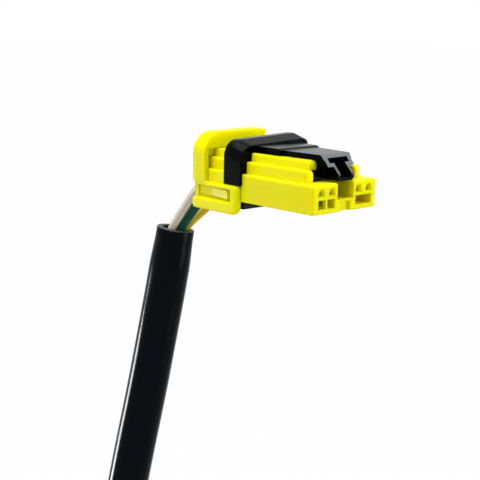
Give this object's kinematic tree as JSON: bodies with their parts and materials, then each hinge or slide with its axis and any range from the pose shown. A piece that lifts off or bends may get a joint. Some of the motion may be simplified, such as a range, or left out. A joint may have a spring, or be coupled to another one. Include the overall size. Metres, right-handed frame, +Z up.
{
  "type": "airbag harness connector pigtail",
  "caption": "Yellow stepped harness connector with a black spring-loaded sliding lock, a clip-on rear cover and insulated wires that leave through a short black sleeve.",
  "frame": {"origin": "middle of the mating face's bottom edge, between the two towers", "axes": "+X out of the mating face, +Y along the terminal row, +Z up through the stepped top; the lead hangs towards -Z"},
  "size_m": [0.0441, 0.0312, 0.16],
  "materials": {
    "yellow_housing": "moulded, satin",
    "yellow_cover": "moulded, satin",
    "black_slider": "moulded, satin",
    "spring_steel": "drawn wire",
    "clip_bronze": "stamped strip",
    "tinned_terminal": "tin plated, stamped",
    "black_sleeve": "glossy vinyl",
    "wire_beige_insulation": "satin vinyl",
    "wire_green_insulation": "satin vinyl",
    "wire_yellow_insulation": "satin vinyl",
    "wire_black_insulation": "satin vinyl",
    "copper_strand": "bare stranded copper"
  },
  "bodies": {
    "connector": {"housing": "yellow_housing", "rear_cover": "yellow_cover", "slider_spring_near": "spring_steel", "slider_spring_far": "spring_steel", "shorting_clip_near": "clip_bronze", "shorting_clip_far": "clip_bronze", "terminal_1": "tinned_terminal", "terminal_2": "tinned_terminal", "terminal_3": "tinned_terminal", "terminal_4": "tinned_terminal", "sleeve": "black_sleeve", "wire_beige": "wire_beige_insulation", "wire_green": "wire_green_insulation", "wire_yellow": "wire_yellow_insulation", "wire_black": "wire_black_insulation", "bare_end_beige": "copper_strand", "bare_end_green": "copper_strand", "bare_end_yellow": "copper_strand", "bare_end_black": "copper_strand"},
    "slider": {"lock_slider": "black_slider"}
  },
  "joints": [
    {"name": "lock_slide", "type": "slide", "parent": "connector", "child": "slider", "axis": [-1, 0, 0], "range_m": [0, 0.0035], "stiffness_N_per_m": 2000, "springref_m": -0.001, "deforming": ["slider_spring_near", "slider_spring_far"]}
  ]
}
